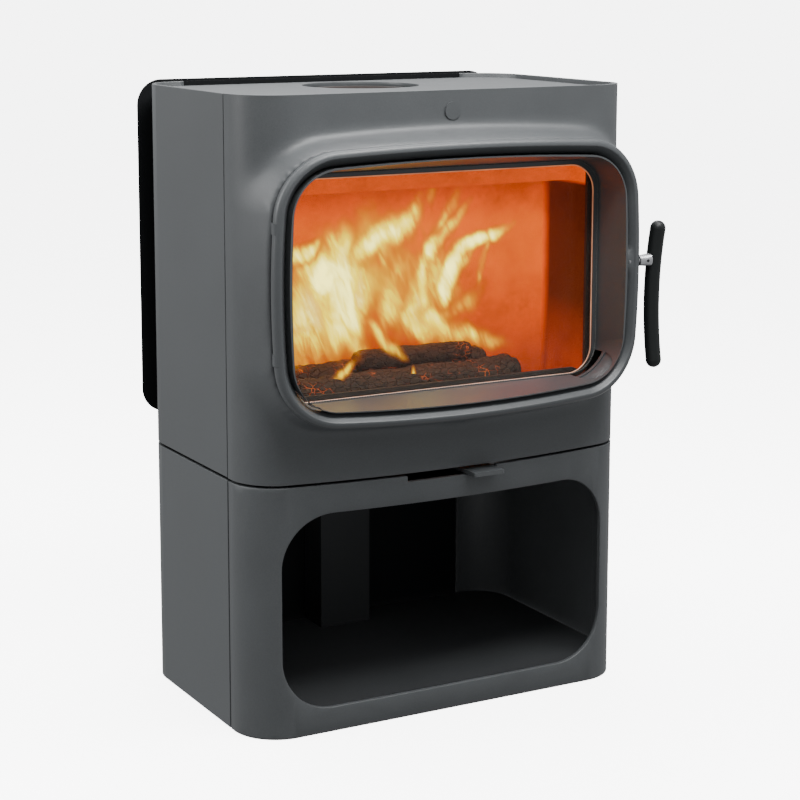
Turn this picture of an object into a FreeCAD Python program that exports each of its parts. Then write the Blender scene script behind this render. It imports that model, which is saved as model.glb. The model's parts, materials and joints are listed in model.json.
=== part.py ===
import FreeCAD, Part
import math
import os
import re
import Sketcher
from FreeCAD import Vector

# Free-standing wood burning stove on a log-store base.
# Origin on the floor at the centre of the 650 x 400 footprint, +Z up, the front faces -Y.

SIZES = {
    # overall
    "body_width": 650, "body_depth": 400, "total_height": 937, "plan_corner": 70,
    "base_height": 377, "seam_gap": 4, "front_length": 84, "side_seam": 3, "front_bow": 20,
    "casting_wall": 8, "panel_wall": 5, "rear_half_width": 250, "sheet_wall": 2,
    # log store
    "store_half_width": 277, "store_bottom": 38, "store_top": 334, "store_corner": 80,
    "shelf_thickness": 5, "duct_half_width": 45, "duct_depth": 60, "ceiling_drop": 22,
    "slot_left": -82, "slot_right": 70, "slot_depth": 9, "plate_gap": 1,
    "foot_radius": 16, "foot_height": 6, "stem_radius": 5, "post_radius": 14,
    # air control
    "lever_left": 15, "lever_right": 67, "lever_reach": 27, "lever_drop": 1.5, "lever_thickness": 6,
    "shutter_half_width": 75, "shutter_front": -120, "shutter_rear": -70,
    # door
    "rim_half_width": 309, "rim_half_height": 203.5, "rim_middle": 664.5, "rim_corner": 98,
    "rim_top_radius": 3600, "rim_side_radius": 1500, "rim_width": 22, "rim_thickness": 20,
    "rim_back": 226, "lip_front": 221, "lip_width": 12, "cove_reach": 10.5,
    "glass_half_width": 265.5, "glass_half_height": 162, "glass_corner": 42, "glass_plane": 177,
    "glass_middle": 655, "glass_thickness": 4, "glass_overlap": 8, "frame_lip": 7, "frame_rear": 171,
    "door_skirt": 6, "skirt_rear": 201,
    "hinge_x": -299.5, "hinge_y": -236, "hinge_spread": 92, "knuckle_radius": 8.5,
    "knuckle_height": 16, "pin_radius": 3, "running_gap": 0.05,
    # handle
    "shaft_height": 671, "shaft_radius": 4.5, "grip_radius": 12, "grip_x": 341,
    "grip_above": 60, "grip_below": 168, "grip_bend": 7, "cam_left": 289.5, "cam_thickness": 5,
    "cam_hub_wall": 2.2, "keeper_depth": 44, "keeper_height": 11, "keeper_radius": 4,
    # firebox
    "box_half_width": 292, "box_front": -158, "box_rear": 160, "box_bottom": 434, "box_top": 884,
    "plate_wall": 6, "brick": 20, "fire_rear": -36, "baffle_height": 786, "flue_y": 80, "flue_bore": 76,
    "top_recess": 7, "top_plate": 8, "top_hole": 92, "collar_wall": 6, "collar_height": 34,
    "front_plate_rise": 34, "rear_board": 26, "baffle_board": 22, "retainer_height": 56,
    # heat shield
    "shield_half_width": 320, "shield_bottom": 412, "shield_top": 940, "shield_corner": 40,
    "shield_gap": 16,
    # fasteners
    "screw_head": 7, "screw_height": 4,
}

doc = FreeCAD.newDocument("Stove")
sheet = doc.addObject("Spreadsheet::Sheet", "Sizes")
for row, (alias, value) in enumerate(SIZES.items(), start=1):
    sheet.set(f"A{row}", alias)
    sheet.set(f"B{row}", str(value))
    sheet.setAlias(f"B{row}", alias)
doc.recompute()

nodes = []


def bound(text):
    """An expression whose words that are cells of the sheet refer to it."""
    return re.sub(r"[a-z_]+", lambda word: f"Sizes.{word[0]}" if word[0] in SIZES else word[0], text)


def size(alias):
    return float(sheet.get(alias))


def node(item, label):
    """Marks an object as a finished sub-part with its file's name as its label."""
    item.Label = label
    nodes.append(item)
    return item


def box(name, x, y, z):
    """A block between low and high planes, each an expression in the sheet's words."""
    item = doc.addObject("Part::Box", name)
    for prop, axis, (low, high) in zip(("Length", "Width", "Height"), "xyz", (x, y, z)):
        item.setExpression(prop, bound(f"({high}) - ({low})"))
        item.setExpression(f"Placement.Base.{axis}", bound(low))
    return item


ALONG = {
    "x": FreeCAD.Rotation(Vector(0, 1, 0), 90),
    "y": FreeCAD.Rotation(Vector(1, 0, 0), -90),
    "z": FreeCAD.Rotation(),
}


def rod(name, along, radius, x, y, z, length):
    """A cylinder that starts at x, y, z and runs along an axis in its positive direction."""
    item = doc.addObject("Part::Cylinder", name)
    item.Placement = FreeCAD.Placement(Vector(), ALONG[along])
    item.setExpression("Radius", bound(radius))
    item.setExpression("Height", bound(length))
    for axis, text in zip("xyz", (x, y, z)):
        item.setExpression(f"Placement.Base.{axis}", bound(text))
    return item


def fuse(name, items):
    item = doc.addObject("Part::MultiFuse", name)
    item.Shapes = items
    return item


def cut(name, base, tools):
    item = doc.addObject("Part::Cut", name)
    item.Base = base
    item.Tool = tools[0] if len(tools) == 1 else fuse(f"{name}_tools", tools)
    return item


def common(name, items):
    item = doc.addObject("Part::MultiCommon", name)
    item.Shapes = items
    return item


def group(name, items):
    """Separate solids of one kind of fastener, kept as one sub-part."""
    item = doc.addObject("Part::Compound", name)
    item.Links = items
    return item


def feature(name, shape):
    """A sub-part whose curved shape comes from Part's own functions."""
    item = doc.addObject("Part::Feature", name)
    item.Shape = shape
    item.Placement = FreeCAD.Placement()
    return item


def rounded(name, item, axis, radius):
    """Rounds the edges of a block that run along an axis."""
    doc.recompute()
    direction = {"x": Vector(1, 0, 0), "y": Vector(0, 1, 0), "z": Vector(0, 0, 1)}[axis]
    chosen = []
    for index, edge in enumerate(item.Shape.Edges, start=1):
        ends = [vertex.Point for vertex in edge.Vertexes]
        if abs((ends[1] - ends[0]).normalize().dot(direction)) > 0.99:
            chosen.append((index, radius, radius))
    result = doc.addObject("Part::Fillet", name)
    result.Base = item
    result.Edges = chosen
    return result


def sketch_on(body, name, role):
    plane = next(item for item in body.Origin.OriginFeatures if item.Role == role)
    sketch = body.newObject("Sketcher::SketchObject", name)
    sketch.AttachmentSupport = (plane, [""])
    sketch.MapMode = "FlatFace"
    return sketch


def outline_corners(sketch, corners):
    """A closed outline of straight lines whose corners are placed by expressions."""
    count = len(corners)
    turns = [math.tau * n / count for n in range(count)]
    places = [Vector(10 * math.cos(turn), 10 * math.sin(turn), 0) for turn in turns]
    for n in range(count):
        sketch.addGeometry(Part.LineSegment(places[n], places[(n + 1) % count]), False)
    for n in range(count):
        sketch.addConstraint(Sketcher.Constraint("Coincident", n, 2, (n + 1) % count, 1))
    for n, pair in enumerate(corners):
        for kind, text, start in zip(("DistanceX", "DistanceY"), pair, places[n][:2]):
            index = sketch.addConstraint(Sketcher.Constraint(kind, -1, 1, n, 1, start))
            sketch.setExpression(f"Constraints[{index}]", bound(text))


def revolved(label, corners, place, along):
    """A turned piece: an outline in radius and height, revolved and placed along an axis."""
    body = doc.addObject("PartDesign::Body", label)
    sketch = sketch_on(body, f"{label}_outline", "XZ_Plane")
    outline_corners(sketch, corners)
    turn = body.newObject("PartDesign::Revolution", f"{label}_turn")
    turn.Profile = sketch
    turn.ReferenceAxis = (sketch, ["V_Axis"])
    turn.Angle = 360
    body.Placement = FreeCAD.Placement(Vector(), ALONG[along])
    for axis, text in zip("xyz", place):
        body.setExpression(f"Placement.Base.{axis}", bound(text))
    return body


# ---------------------------------------------------------------- plan of the front castings

# the least bow a front may have and still be an arc
FLAT_BOW = 0.3


def plan_arcs(bow):
    """Centre and radius of the bowed front and the centre of its corner arcs, for one bow."""
    corner = size("plan_corner")
    span = size("body_width") / 2 - corner
    radius = (span ** 2 + bow ** 2) / (2 * bow)
    centre_y = radius - size("body_depth") / 2 - bow
    corner_y = centre_y - math.sqrt((radius - corner) ** 2 - span ** 2)
    return span, corner, radius, centre_y, corner_y


def plan_wire(height, bow, inset, back):
    """Closed plan of a front casting: two sides, two corner arcs, the bowed front and the back."""
    span, corner, radius, centre_y, corner_y = plan_arcs(bow)
    half = size("body_width") / 2 - inset
    outward = Vector(span, corner_y - centre_y, 0).normalize()
    meet = Vector(0, centre_y, 0) + outward * (radius - inset)
    middle = Vector(span, corner_y, 0) + (outward + Vector(1, 0, 0)).normalize() * (corner - inset)

    def at(point, side):
        return Vector(side * point.x, point.y, height)

    start = Vector(half, corner_y, 0)
    rear = Vector(half, back, 0)
    front = Vector(0, centre_y - radius + inset, height)
    edges = [
        Part.LineSegment(at(rear, -1), at(start, -1)).toShape(),
        Part.Arc(at(start, -1), at(middle, -1), at(meet, -1)).toShape(),
        Part.Arc(at(meet, -1), front, at(meet, 1)).toShape(),
        Part.Arc(at(meet, 1), at(middle, 1), at(start, 1)).toShape(),
        Part.LineSegment(at(start, 1), at(rear, 1)).toShape(),
        Part.LineSegment(at(rear, 1), at(rear, -1)).toShape(),
    ]
    return Part.Wire(edges)


# ---------------------------------------------------------------- outline of the door

def door_arcs():
    """Centres of the top, side and corner arcs of the door's outline, about its middle."""
    top = Vector(0, 0, size("rim_half_height") - size("rim_top_radius"))
    side = Vector(size("rim_half_width") - size("rim_side_radius"), 0, 0)
    from_top = size("rim_top_radius") - size("rim_corner")
    from_side = size("rim_side_radius") - size("rim_corner")
    gap = side - top
    along = (from_top ** 2 - from_side ** 2 + gap.Length ** 2) / (2 * gap.Length)
    across = math.sqrt(from_top ** 2 - along ** 2)
    unit = Vector(gap).normalize()
    corner = top + unit * along + Vector(unit.z, 0, -unit.x) * across
    return top, side, corner


def door_wire(inset, y):
    """Closed outline of the door, moved inwards by inset, in the plane y."""
    top, side, corner = door_arcs()
    up = (corner - top).normalize()
    out = (corner - side).normalize()
    high = top + up * (size("rim_top_radius") - inset)
    wide = side + out * (size("rim_side_radius") - inset)
    knee = corner + (up + out).normalize() * (size("rim_corner") - inset)
    crown = size("rim_half_height") - inset
    flank = size("rim_half_width") - inset

    def at(point, x_sign, z_sign):
        return Vector(x_sign * point.x, y, size("rim_middle") + z_sign * point.z)

    edges = [
        Part.Arc(at(high, -1, 1), Vector(0, y, size("rim_middle") + crown), at(high, 1, 1)),
        Part.Arc(at(high, 1, 1), at(knee, 1, 1), at(wide, 1, 1)),
        Part.Arc(at(wide, 1, 1), Vector(flank, y, size("rim_middle")), at(wide, 1, -1)),
        Part.Arc(at(wide, 1, -1), at(knee, 1, -1), at(high, 1, -1)),
        Part.Arc(at(high, 1, -1), Vector(0, y, size("rim_middle") - crown), at(high, -1, -1)),
        Part.Arc(at(high, -1, -1), at(knee, -1, -1), at(wide, -1, -1)),
        Part.Arc(at(wide, -1, -1), Vector(-flank, y, size("rim_middle")), at(wide, -1, 1)),
        Part.Arc(at(wide, -1, 1), at(knee, -1, 1), at(high, -1, 1)),
    ]
    return Part.Wire([edge.toShape() for edge in edges])


def door_prism(inset, front, back):
    """A straight prism of the door's outline between two planes."""
    return Part.Face(door_wire(inset, front)).extrude(Vector(0, back - front, 0))


def rim_distance(x, height):
    """How far a point of the front lies outside the door's outline; negative inside."""
    top, side, corner = door_arcs()
    point = Vector(abs(x), 0, abs(height - size("rim_middle")))
    if (point.x - top.x) * (corner.z - top.z) < (corner.x - top.x) * (point.z - top.z):
        return (point - top).Length - size("rim_top_radius")
    if (point.z - side.z) * (corner.x - side.x) < (corner.z - side.z) * (point.x - side.x):
        return (point - side).Length - size("rim_side_radius")
    return (point - corner).Length - size("rim_corner")


def bow_radius():
    half = size("rim_half_width")
    return (half ** 2 + size("front_bow") ** 2) / (2 * size("front_bow"))


def bowed_y(offset, x):
    """Plane of a bowed door face: offset in front of the axis at the rim's sides, more in the middle."""
    half = size("rim_half_width")
    return -offset - size("front_bow") * (1 - (x / half) ** 2)


def bow_block(offset):
    """Everything behind the bowed face that stands offset in front of the origin at the rim's sides."""
    radius = bow_radius()
    centre = Vector(0, radius - offset - size("front_bow"), size("base_height"))
    return Part.makeCylinder(radius, size("total_height") - size("base_height"), centre)


def rounded_wire(half_width, half_height, corner, y, middle):
    """A rounded rectangle of eight edges in the plane y."""
    edges = []
    points = []
    for start, (sx, sz) in zip((90, 0, -90, -180), ((1, 1), (1, -1), (-1, -1), (-1, 1))):
        centre = Vector(sx * (half_width - corner), y, middle + sz * (half_height - corner))
        for turn in (0, -45, -90):
            angle = math.radians(start + turn)
            points.append(centre + Vector(math.cos(angle), 0, math.sin(angle)) * corner)
    for n in range(0, 12, 3):
        edges.append(Part.LineSegment(points[n - 1], points[n]).toShape())
        edges.append(Part.Arc(points[n], points[n + 1], points[n + 2]).toShape())
    return Part.Wire(edges)


# ---------------------------------------------------------------- base

def casting_seam():
    """Depth where the front castings end and the side panels begin, less half the seam."""
    return -size("body_depth") / 2 + size("front_length") - size("side_seam") / 2


def base_castings():
    """Front casting of the base, with the log opening and the slot for the air lever."""
    seam = casting_seam()
    wall = size("casting_wall")
    top = size("base_height")
    bow = size("front_bow")
    shell = Part.makeLoft([plan_wire(0, FLAT_BOW, 0, seam), plan_wire(top, bow, 0, seam)], True, True)
    hollow = Part.makeLoft(
        [plan_wire(0, FLAT_BOW, wall, seam + 1), plan_wire(top, bow, wall, seam + 1)], True, True
    )
    low, high = size("store_bottom"), size("store_top")
    front = -size("body_depth")
    mouth = rounded_wire(
        size("store_half_width"), (high - low) / 2, size("store_corner"), front, (high + low) / 2
    )
    opening = Part.Face(mouth).extrude(Vector(0, size("body_depth"), 0))
    slot = Part.makeBox(
        size("slot_right") - size("slot_left"), size("body_depth"), 2 * size("slot_depth"),
        Vector(size("slot_left"), front, top - size("slot_depth")),
    )
    shape = shell.cut(hollow).cut(opening).cut(slot)
    node(feature("base_front_casting", shape), "base_front")


def wrapped_panels(prefix, low, high, labels):
    """Left and right side panels that wrap the rear corners, cut from one rounded shell."""
    corner = size("plan_corner")
    outer = box(f"{prefix}_outer", ("-body_width / 2", "body_width / 2"),
                ("-body_depth / 2", "body_depth / 2"), (low, high))
    inner = box(
        f"{prefix}_inner",
        ("-body_width / 2 + panel_wall", "body_width / 2 - panel_wall"),
        ("-body_depth / 2 - 1", "body_depth / 2 - panel_wall"),
        (f"{low} - 1", f"{high} + 1"),
    )
    shell = cut(
        f"{prefix}_shell",
        rounded(f"{prefix}_outer_round", outer, "z", corner),
        [rounded(f"{prefix}_inner_round", inner, "z", corner - size("panel_wall"))],
    )
    spans = (("-body_width", "-rear_half_width"), ("rear_half_width", "body_width"))
    for label, span in zip(labels, spans):
        keep = box(
            f"{label}_keep", span,
            ("-body_depth / 2 + front_length + side_seam / 2", "body_depth"), (f"{low} - 2", f"{high} + 2"),
        )
        node(common(f"{label}_panel", [shell, keep]), label)


def rear_sheet(label, low, high):
    """Thin sheet that closes the rear between the two side panels."""
    clear = "rear_half_width - 0.4"
    depth = ("body_depth / 2 - sheet_wall", "body_depth / 2")
    node(box(f"{label}_sheet", (f"-({clear})", clear), depth, (low, high)), label)


def inner_plate(name, low, high, gap):
    """A horizontal plate that fills the body's inside plan, a gap clear of its walls."""
    reach = f"body_width / 2 - casting_wall - {gap}"
    plate = box(
        f"{name}_block", (f"-({reach})", reach),
        (f"-body_depth / 2 + casting_wall + {gap}", "body_depth / 2 - panel_wall - plate_gap"), (low, high),
    )
    return rounded(f"{name}_plate", plate, "z", size("plan_corner") - size("casting_wall") - size(gap))


def base_plates():
    rear_sheet("base_back", "0", "base_height")
    shelf = ("store_bottom - shelf_thickness - plate_gap", "store_bottom - plate_gap")
    node(inner_plate("shelf", *shelf, "plate_gap"), "log_shelf")
    under = "base_height - ceiling_drop - shelf_thickness"
    ceiling = inner_plate("ceiling", under, "base_height - ceiling_drop", "plate_gap")
    duct_hole = box(
        "ceiling_duct_hole", ("-duct_half_width + 4", "duct_half_width - 4"),
        ("body_depth / 2 - duct_depth", "body_depth / 2 - panel_wall - 5"), ("0", "base_height"),
    )
    node(cut("ceiling_cut", ceiling, [duct_hole]), "base_top_plate")
    outer = box(
        "duct_outer", ("-duct_half_width", "duct_half_width"),
        ("body_depth / 2 - panel_wall - duct_depth", "body_depth / 2 - panel_wall - plate_gap"),
        ("store_bottom - plate_gap", under),
    )
    inner = box(
        "duct_inner", ("-duct_half_width + sheet_wall", "duct_half_width - sheet_wall"),
        ("body_depth / 2 - panel_wall - duct_depth + sheet_wall", "body_depth / 2"), ("0", "base_height"),
    )
    node(cut("duct_channel", outer, [inner]), "air_duct_cover")


def spread(name, make, xs, ys):
    """One solid for each pair of places, grouped as one sub-part."""
    return group(name, [make(f"{name}_{i}_{j}", x, y) for i, x in enumerate(xs) for j, y in enumerate(ys)])


def levelling_screw(name, x, y):
    foot = rod(f"{name}_foot", "z", "foot_radius", x, y, "0", "foot_height")
    stem_height = "store_bottom - shelf_thickness - plate_gap - foot_height"
    stem = rod(f"{name}_stem", "z", "stem_radius", x, y, "foot_height - 1", f"{stem_height} + 1")
    return fuse(name, [foot, stem])


def post(name, x, y):
    return rod(name, "z", "post_radius", x, y, "base_height - ceiling_drop", "ceiling_drop + seam_gap")


def supports():
    """Levelling screws under the shelf's corners and its middle, and the posts that carry the body."""
    xs = ("-240", "240")
    ys = ("-110", "130")
    corners = spread("levelling", levelling_screw, xs, ys)
    middle = levelling_screw("levelling_middle", "0", "0")
    node(group("levelling_set", corners.Links + [middle]), "levelling_screws")
    doc.removeObject(corners.Name)
    node(spread("posts", post, xs, ys), "body_supports")


# ---------------------------------------------------------------- upper body

def rim_level(x):
    """Front of the collar's lip in the depth direction."""
    return bowed_y(size("lip_front"), x)


# how far the casting's skin runs past the casting before it is trimmed, and in how many steps
SKIN_MARGIN = 24
MARGIN_STEPS = 3


def casting_section(height, inset):
    """Points of the upper front casting's plan at one height: rounded body, flared to the door's lip."""
    bottom = size("base_height") + size("seam_gap")
    share = (size("total_height") - height) / (size("total_height") - bottom)
    bow = max(size("front_bow") * share, FLAT_BOW)
    span, corner, radius, centre_y, corner_y = plan_arcs(bow)
    half = size("body_width") / 2 - inset
    meet_angle = math.atan2(centre_y - corner_y, span)
    arc_steps, front_steps = 15, 26
    rear = casting_seam() + SKIN_MARGIN
    plan = [(half, rear + (corner_y - rear) * n / MARGIN_STEPS) for n in range(1, MARGIN_STEPS + 1)]
    for n in range(1, arc_steps + 1):
        angle = -meet_angle * n / arc_steps
        turn = (corner - inset) * math.cos(angle), (corner - inset) * math.sin(angle)
        plan.append((span + turn[0], corner_y + turn[1]))
    meet_x = plan[-1][0]
    for n in range(1, front_steps + 1):
        x = meet_x * (1 - n / front_steps)
        plan.append((x, centre_y - math.sqrt((radius - inset) ** 2 - x ** 2)))
    points = [Vector(half, rear, height)]
    for x, y in plan:
        outside = max(rim_distance(x, height) + inset + 2, 0)
        reach = math.exp(-((outside / size("cove_reach")) ** 1.5))
        points.append(Vector(x, y + (rim_level(x) + inset - y) * reach, height))
    mirrored = [Vector(-point.x, point.y, point.z) for point in reversed(points[:-1])]
    return points + mirrored


def casting_levels():
    """Heights of the casting's sections, close together where the collar turns."""
    level = size("base_height") - SKIN_MARGIN
    levels = [level]
    while level < size("total_height") + SKIN_MARGIN:
        edge = abs(abs(level - size("rim_middle")) - size("rim_half_height"))
        level += 5.5 if edge < 28 else 9
        levels.append(level)
    return levels


def casting_skin(inset):
    """One smooth face through the casting's sections, larger than the casting on every side."""
    surface = Part.BSplineSurface()
    surface.interpolate([casting_section(level, inset) for level in casting_levels()])
    return surface


def skin_edges(surface):
    """The skin's bottom, top, right and left edges."""
    first_u, last_u, first_v, last_v = surface.bounds()
    return [surface.uIso(first_u).toShape(), surface.uIso(last_u).toShape(),
            surface.vIso(first_v).toShape(), surface.vIso(last_v).toShape()]


def front_casting():
    """Upper front casting: a bowed front that flares in a cove to the lip round the door opening."""
    outer = casting_skin(0)
    inner = casting_skin(size("casting_wall"))
    rims = [Part.makeRuledSurface(*pair) for pair in zip(skin_edges(outer), skin_edges(inner))]
    shell = Part.makeShell([outer.toShape(), inner.toShape()] + rims)
    shell.sewShape()
    solid = Part.makeSolid(Part.Shell(shell.Faces))
    if solid.Volume < 0:
        solid.reverse()
    bottom = size("base_height") + size("seam_gap")
    keep = Part.makeBox(
        size("body_width") + 2, size("body_depth"), size("total_height") - bottom,
        Vector(-size("body_width") / 2 - 1, casting_seam() - size("body_depth"), bottom),
    )
    opening = door_prism(size("lip_width"), -size("body_depth"), -150)
    node(feature("front_casting_shape", solid.common(keep).cut(opening).Solids[0]), "front_casting")


# length of a hinge pin above and below its knuckle
PIN_END = 14


def hinge_heights():
    return [size("rim_middle") + side * size("hinge_spread") for side in (-1, 1)]


def hinge_parts():
    """Knuckles on the casting's lip, and the door's pins through them."""
    x, y = size("hinge_x"), size("hinge_y")
    tall = size("knuckle_height")
    knuckles = []
    pins = []
    for height in hinge_heights():
        low = height - tall / 2
        barrel = Part.makeCylinder(size("knuckle_radius"), tall, Vector(x, y, low))
        neck = Part.makeBox(7, rim_level(x) - y + 4, tall, Vector(x - 3.5, y, low))
        bore = Part.makeCylinder(size("pin_radius") + size("running_gap"), tall + 2, Vector(x, y, low - 1))
        knuckles.append(barrel.fuse(neck).removeSplitter().cut(bore))
        start = Vector(x, y, low - PIN_END)
        pins.append(Part.makeCylinder(size("pin_radius"), tall + 2 * PIN_END, start))
    node(feature("knuckle_pair", Part.Compound(knuckles)), "hinge_lugs")
    node(feature("pin_pair", Part.Compound(pins)), "hinge_pins")


def floor_plate():
    under = "base_height + seam_gap"
    inlet = box("floor_inlet", ("-70", "70"), ("-120", "-80"), ("0", "total_height"))
    plate = inner_plate("floor", under, f"{under} + plate_wall", "plate_gap")
    node(cut("floor_cut", plate, [inlet]), "body_floor")


def top_plates():
    recess = "total_height - top_recess"
    hole = rod("top_hole_tool", "z", "top_hole", "0", "flue_y", "0", "2 * total_height")
    plate = inner_plate("lid", f"{recess} - top_plate", recess, "sheet_wall")
    node(cut("top_cut", plate, [hole]), "top_plate")
    outer, flange = "flue_bore + collar_wall", "flue_bore + 16"
    collar = revolved(
        "flue_collar",
        [("flue_bore", "0"), (flange, "0"), (flange, "collar_wall"), (outer, "collar_wall"),
         (outer, "collar_height"), ("flue_bore", "collar_height")],
        ("0", "flue_y", "box_top + plate_wall"), "z",
    )
    node(collar, "flue_collar")


# ---------------------------------------------------------------- firebox

def firebox_plates():
    under = "base_height + seam_gap + plate_wall"
    side_y = ("box_front", "box_rear")
    for label, sign in (("firebox_left", "-"), ("firebox_right", "")):
        ends = (f"{sign}box_half_width", f"{sign}(box_half_width - plate_wall)")
        low, high = ends if sign else ends[::-1]
        node(box(f"{label}_plate", (low, high), side_y, (under, "box_top")), label)
    wide = ("-box_half_width", "box_half_width")
    node(box("firebox_rear_plate", wide, ("box_rear", "box_rear + plate_wall"), (under, "box_top")),
         "firebox_rear")
    roof = box("firebox_roof", wide, ("box_front", "box_rear + plate_wall"),
               ("box_top", "box_top + plate_wall"))
    flue = rod("roof_flue", "z", "flue_bore", "0", "flue_y", "0", "2 * total_height")
    node(cut("firebox_roof_cut", roof, [flue]), "firebox_top")
    front = box("firebox_front_block", ("-box_half_width + 2", "box_half_width - 2"),
                ("box_front - plate_wall", "box_front"), ("box_bottom", "box_top"))
    reach = "box_half_width - plate_wall - brick - 2"
    mouth = box("firebox_mouth", (f"-({reach})", reach), ("box_front - 20", "box_front + 20"),
                ("box_bottom + front_plate_rise", "box_top - front_plate_rise"))
    node(cut("firebox_front_cut", front, [rounded("firebox_mouth_round", mouth, "y", 40)]), "firebox_front")
    node(box("firebox_floor", ("-box_half_width + plate_wall", "box_half_width - plate_wall"), side_y,
             ("box_bottom", "box_bottom + plate_wall")), "firebox_bottom")


def burn_plates():
    inner = "box_half_width - plate_wall"
    low, high = "box_bottom + plate_wall", "box_top - 4"
    for label, sign in (("burn_plate_left", -1), ("burn_plate_right", 1)):
        near, far = f"{sign} * ({inner})", f"{sign} * ({inner} - brick)"
        ends = (near, far) if sign < 0 else (far, near)
        node(box(f"{label}_board", ends, ("box_front + 1", "fire_rear"), (low, high)), label)
    node(box("burn_rear_board", (f"-({inner})", inner), ("fire_rear", "fire_rear + rear_board"),
             (low, "baffle_height + baffle_board")), "burn_plate_rear")
    reach = f"{inner} - brick"
    node(box("lower_baffle", (f"-({reach})", reach), ("box_front + 44", "fire_rear"),
             ("baffle_height", "baffle_height + baffle_board")), "baffle_lower")
    raised = "baffle_height + 2 * baffle_board"
    node(box("upper_baffle", (f"-({reach})", reach), ("box_front + 30", "fire_rear + 10"),
             (raised, f"{raised} + plate_wall")), "baffle_upper")

    def peg(name, x, y):
        return rod(name, "z", "6", x, y, "baffle_height + baffle_board", "baffle_board")

    node(spread("baffle_pegs", peg, ("-200", "200"), ("-110", "-50")), "baffle_spacers")


def retainer():
    """Bar between the side boards that keeps the logs off the pane."""
    reach = "box_half_width - plate_wall - brick - 2"
    low = "box_bottom + plate_wall"
    bar = box("retainer_bar", (f"-({reach})", reach), ("box_front + 8", "box_front + 8 + plate_wall"),
              (low, f"{low} + retainer_height"))
    node(rounded("retainer_round", bar, "y", 14), "log_retainer")


# ---------------------------------------------------------------- door

# radius of the rim's rounded outer edges, the dark gap between the rim and the glass frame,
# and the path that a knuckle's neck sweeps
RIM_ROUND = 9
FRAME_GAP = 2
NECK_SWEEP = 24
NECK_TURN = (62, 150)


def swing_notch(height):
    """Room in the rim for a knuckle: its barrel, and the neck's path while the door opens."""
    x, y = size("hinge_x"), size("hinge_y")
    tall = size("knuckle_height") + 1.2
    low = Vector(x, y, height - tall / 2)
    barrel = Part.makeCylinder(size("knuckle_radius") + 0.5, tall, low)
    start, span = NECK_TURN
    path = Part.makeCylinder(NECK_SWEEP, tall, low, Vector(0, 0, 1), span)
    path.rotate(low, Vector(0, 0, 1), start)
    return barrel.fuse(path)


def door_frame():
    """Door casting: bullnosed rim, and a skirt behind it whose inner bead carries the glass frame."""
    front = size("rim_back") + size("rim_thickness")
    width = size("rim_width")
    ring = door_prism(0, -size("body_depth"), -150).cut(door_prism(width, -size("body_depth"), -150))
    rim = ring.common(bow_block(front)).cut(bow_block(size("rim_back")))
    outer_edges = []
    for edge in rim.Edges:
        middle = edge.valueAt((edge.FirstParameter + edge.LastParameter) / 2)
        faces = bowed_y(front, middle.x), bowed_y(size("rim_back"), middle.x)
        on_face = min(abs(middle.y - face) for face in faces) < 1.5
        if on_face and abs(rim_distance(middle.x, middle.z)) < 0.5:
            outer_edges.append(edge)
    rim = rim.makeFillet(RIM_ROUND, outer_edges)
    skirt, rear = size("door_skirt"), size("skirt_rear")
    skirt_wall = door_prism(width - skirt, -size("rim_back") - 14, -rear)
    skirt_wall = skirt_wall.cut(door_prism(width, -size("body_depth"), -100))
    bead = door_prism(width - 1, -rear - skirt, -rear)
    bead = bead.cut(door_prism(width + FRAME_GAP, -size("body_depth"), -100))
    shape = rim.fuse([skirt_wall, bead]).removeSplitter()
    for height in hinge_heights():
        low = Vector(size("hinge_x"), size("hinge_y"), height - size("knuckle_height") / 2 - PIN_END)
        shape = shape.cut(swing_notch(height))
        shape = shape.cut(Part.makeCylinder(size("pin_radius"), size("knuckle_height") + 2 * PIN_END, low))
    shape = shape.cut(shaft_bore()).cut(cam_slot())
    node(feature("door_casting", shape), "door_frame")


def shaft_bore():
    place = Vector(size("cam_left") - 0.5, size("hinge_y"), size("shaft_height"))
    return Part.makeCylinder(size("shaft_radius") + size("running_gap"), 60, place, Vector(1, 0, 0))


def cam_slot():
    """Room for the latch cam: a pocket in the rim's back, and a slot through the skirt."""
    left, right = size("cam_left") - 0.7, size("cam_left") + size("cam_thickness") + 0.9
    low, tall = size("shaft_height") - 36, 62
    pocket = Part.makeBox(right - left, 30, tall, Vector(left, size("hinge_y") - 7.4, low))
    slot = Part.makeBox(right - 282, 50, tall, Vector(282, -size("rim_back"), low))
    return pocket.fuse(slot)


def glass_frame():
    """Inner frame whose walls run back from the rim to a lip round the pane, which sits in its rear."""
    inset = size("rim_width") + FRAME_GAP
    front = size("rim_back") + size("rim_thickness") - 5
    lip, plane = size("frame_lip"), size("glass_plane")
    lip_front = -plane - 3
    blank = door_prism(inset, -size("body_depth"), -size("frame_rear")).common(bow_block(front))
    half_width, half_height = size("glass_half_width"), size("glass_half_height")
    near = rounded_wire(half_width + lip, half_height + lip / 2, size("glass_corner") + lip / 2, lip_front,
                        size("glass_middle") + lip / 2)
    far = door_wire(inset + 1.5, -front - size("front_bow") - 1)
    funnel = Part.makeLoft([near, far], True, True)
    opening = pane_prism(half_width, half_height, size("glass_corner"), lip_front - 1, 0)
    rebate = pane_prism(
        half_width + size("glass_overlap") + 0.4, half_height + size("glass_overlap") + 0.4,
        size("glass_corner"), -plane, 0,
    )
    node(feature("glass_frame_shape", blank.cut(funnel).cut(opening).cut(rebate)), "glass_frame")


def pane_prism(half_width, half_height, corner, front, back):
    wire = rounded_wire(half_width, half_height, corner, front, size("glass_middle"))
    return Part.Face(wire).extrude(Vector(0, back - front, 0))


# the door rope's place behind the rim, its width, and how far it stands off the casting's lip
ROPE_INSET = 6
ROPE_WIDTH = 5.5
ROPE_CLEAR = 1.2


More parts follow.
